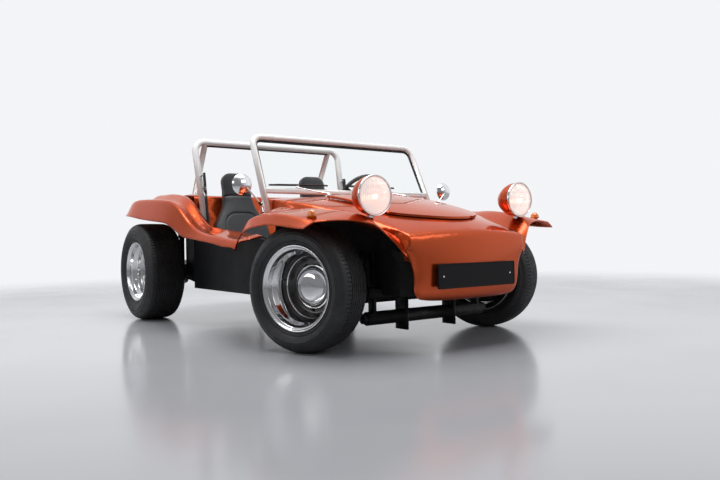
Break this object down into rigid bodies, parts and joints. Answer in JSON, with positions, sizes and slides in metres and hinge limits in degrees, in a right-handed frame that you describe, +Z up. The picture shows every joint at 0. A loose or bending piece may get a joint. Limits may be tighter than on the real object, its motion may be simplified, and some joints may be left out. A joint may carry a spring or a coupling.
{
  "type": "dune buggy",
  "caption": "Open two-seat dune buggy with moulded body, bullet headlamps, roll bar, turning wheels, working steering and an opening bonnet lid.",
  "frame": {"origin": "on the ground, at the middle of the overall length and width", "axes": "+X forward, +Y left, +Z up"},
  "size_m": [3.1, 1.7128, 1.239],
  "materials": {
    "body_paint": "metallic copper orange lacquer",
    "tyre": "matt black rubber",
    "chrome": "bright chrome",
    "webbing": "woven black webbing",
    "upholstery": "charcoal black synthetic leather",
    "clear_glass": "clear",
    "white_tube": "gloss white",
    "amber_lens": "clear amber",
    "red_lens": "clear red",
    "alloy": "cast",
    "exhaust_steel": "dull steel",
    "black_trim": "satin black",
    "black_frame": "satin black"
  },
  "bodies": {
    "car": {"body_side_left": "body_paint", "body_side_right": "body_paint", "dashboard": "black_trim", "engine_block": "alloy", "exhaust": "exhaust_steel", "fan_shroud": "black_trim", "fender_front_left": "body_paint", "fender_front_right": "body_paint", "floor_pan": "black_frame", "front_axle_beam": "black_frame", "front_liner": "black_frame", "front_suspension": "black_frame", "gearbox": "alloy", "hand_and_foot_controls": "black_frame", "headlamp_glasses": "clear_glass", "headlamps": "body_paint", "indicators": "amber_lens", "mirrors": "chrome", "nose": "body_paint", "number_plate": "black_trim", "rear_deck": "body_paint", "rear_suspension": "black_frame", "roll_bar": "white_tube", "seat_belts": "webbing", "seat_left": "upholstery", "seat_right": "upholstery", "side_panels": "black_frame", "steering_column": "black_frame", "tail_lamps": "red_lens", "windscreen_frame": "white_tube", "windscreen_glass": "clear_glass", "wipers": "black_trim"},
    "lid": {"bonnet_lid": "body_paint"},
    "knuckle_left": {"knuckle_left": "black_frame"},
    "knuckle_right": {"knuckle_right": "black_frame"},
    "steering_wheel": {"steering_wheel": "black_trim"},
    "track_rod": {"track_rod": "black_frame"},
    "wheel_front_left": {"tyre_front_left": "tyre", "wheel_front_left": "chrome"},
    "wheel_front_right": {"tyre_front_right": "tyre", "wheel_front_right": "chrome"},
    "wheel_rear_left": {"tyre_rear_left": "tyre", "wheel_rear_left": "chrome"},
    "wheel_rear_right": {"tyre_rear_right": "tyre", "wheel_rear_right": "chrome"}
  },
  "joints": [
    {"name": "steer_right", "type": "hinge", "parent": "car", "child": "knuckle_right", "pos_m": [1.006, -0.53, 0.31], "axis": [0, 0, 1], "range_deg": [-48.7, 11.3]},
    {"name": "spin_front_right", "type": "hinge", "parent": "knuckle_right", "child": "wheel_front_right", "pos_m": [1.006, -0.53, 0.31], "axis": [-0.3206, 0.9472, 0], "continuous": true},
    {"name": "spin_rear_right", "type": "hinge", "parent": "car", "child": "wheel_rear_right", "pos_m": [-0.964, -0.6, 0.338], "axis": [0, 1, 0], "continuous": true},
    {"name": "steer_left", "type": "hinge", "parent": "car", "child": "knuckle_left", "pos_m": [1.006, 0.53, 0.31], "axis": [0, 0, 1], "range_deg": [-48.7, 11.3]},
    {"name": "spin_front_left", "type": "hinge", "parent": "knuckle_left", "child": "wheel_front_left", "pos_m": [1.006, 0.53, 0.31], "axis": [-0.3206, 0.9472, 0], "continuous": true},
    {"name": "spin_rear_left", "type": "hinge", "parent": "car", "child": "wheel_rear_left", "pos_m": [-0.964, 0.6, 0.338], "axis": [0, 1, 0], "continuous": true},
    {"name": "track_rod_swing", "type": "hinge", "parent": "knuckle_right", "child": "track_rod", "pos_m": [0.89233, -0.56847, 0.2], "axis": [0, 0, 1], "range_deg": [-11.4, 48.8]},
    {"name": "steering_wheel_turn", "type": "hinge", "parent": "car", "child": "steering_wheel", "pos_m": [0.215, 0.29, 0.79], "axis": [-0.8829, 0, 0.4695], "range_deg": [-690, 165]},
    {"name": "bonnet_lid_hinge", "type": "hinge", "parent": "car", "child": "lid", "pos_m": [0.74, 0, 0.78287], "axis": [0, -1, 0], "range_deg": [0, 45]}
  ],
  "couplings": [
    {"joint": "steer_left", "follows": "steer_right", "ratio": 1},
    {"joint": "track_rod_swing", "follows": "steer_right", "ratio": -1},
    {"joint": "steering_wheel_turn", "follows": "steer_right", "ratio": 14}
  ]
}
